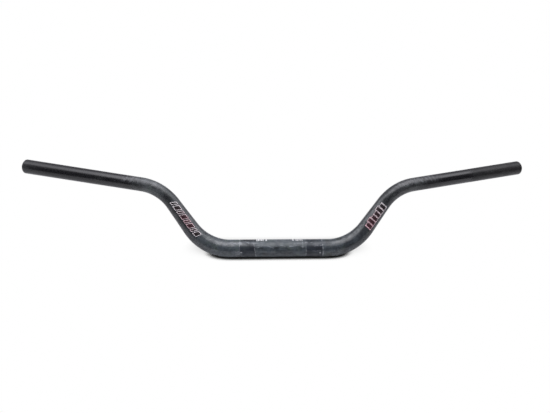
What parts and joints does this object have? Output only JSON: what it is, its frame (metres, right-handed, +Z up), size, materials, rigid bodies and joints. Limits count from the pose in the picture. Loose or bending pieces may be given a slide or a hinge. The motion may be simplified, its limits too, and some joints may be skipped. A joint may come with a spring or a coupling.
{
  "type": "motorcycle handlebar",
  "caption": "Oversize tapered motorcycle handlebar: a bent, hollow black aluminium tube, thick at the clamps and thin at the grips, with printed riser graphics and clamp marks.",
  "frame": {"origin": "middle of the clamp section, on the tube's axis", "axes": "+X along the clamp section, +Y rearwards to the rider, +Z up, as the bar stands on the motorcycle with its risers leaning back 27 degrees"},
  "size_m": [0.8002, 0.0955, 0.1373],
  "materials": {
    "black_anodised": "satin black anodised, worn",
    "light_ink": "printed ink, pinkish white",
    "dark_ink": "printed ink, near black with a red tint",
    "white_ink": "printed ink, white, worn"
  },
  "bodies": {
    "root": {"bar_tube": "black_anodised", "left_riser_outline": "light_ink", "left_riser_fill": "dark_ink", "right_riser_outline": "light_ink", "right_riser_fill": "dark_ink", "clamp_scale": "white_ink"}
  },
  "joints": []
}
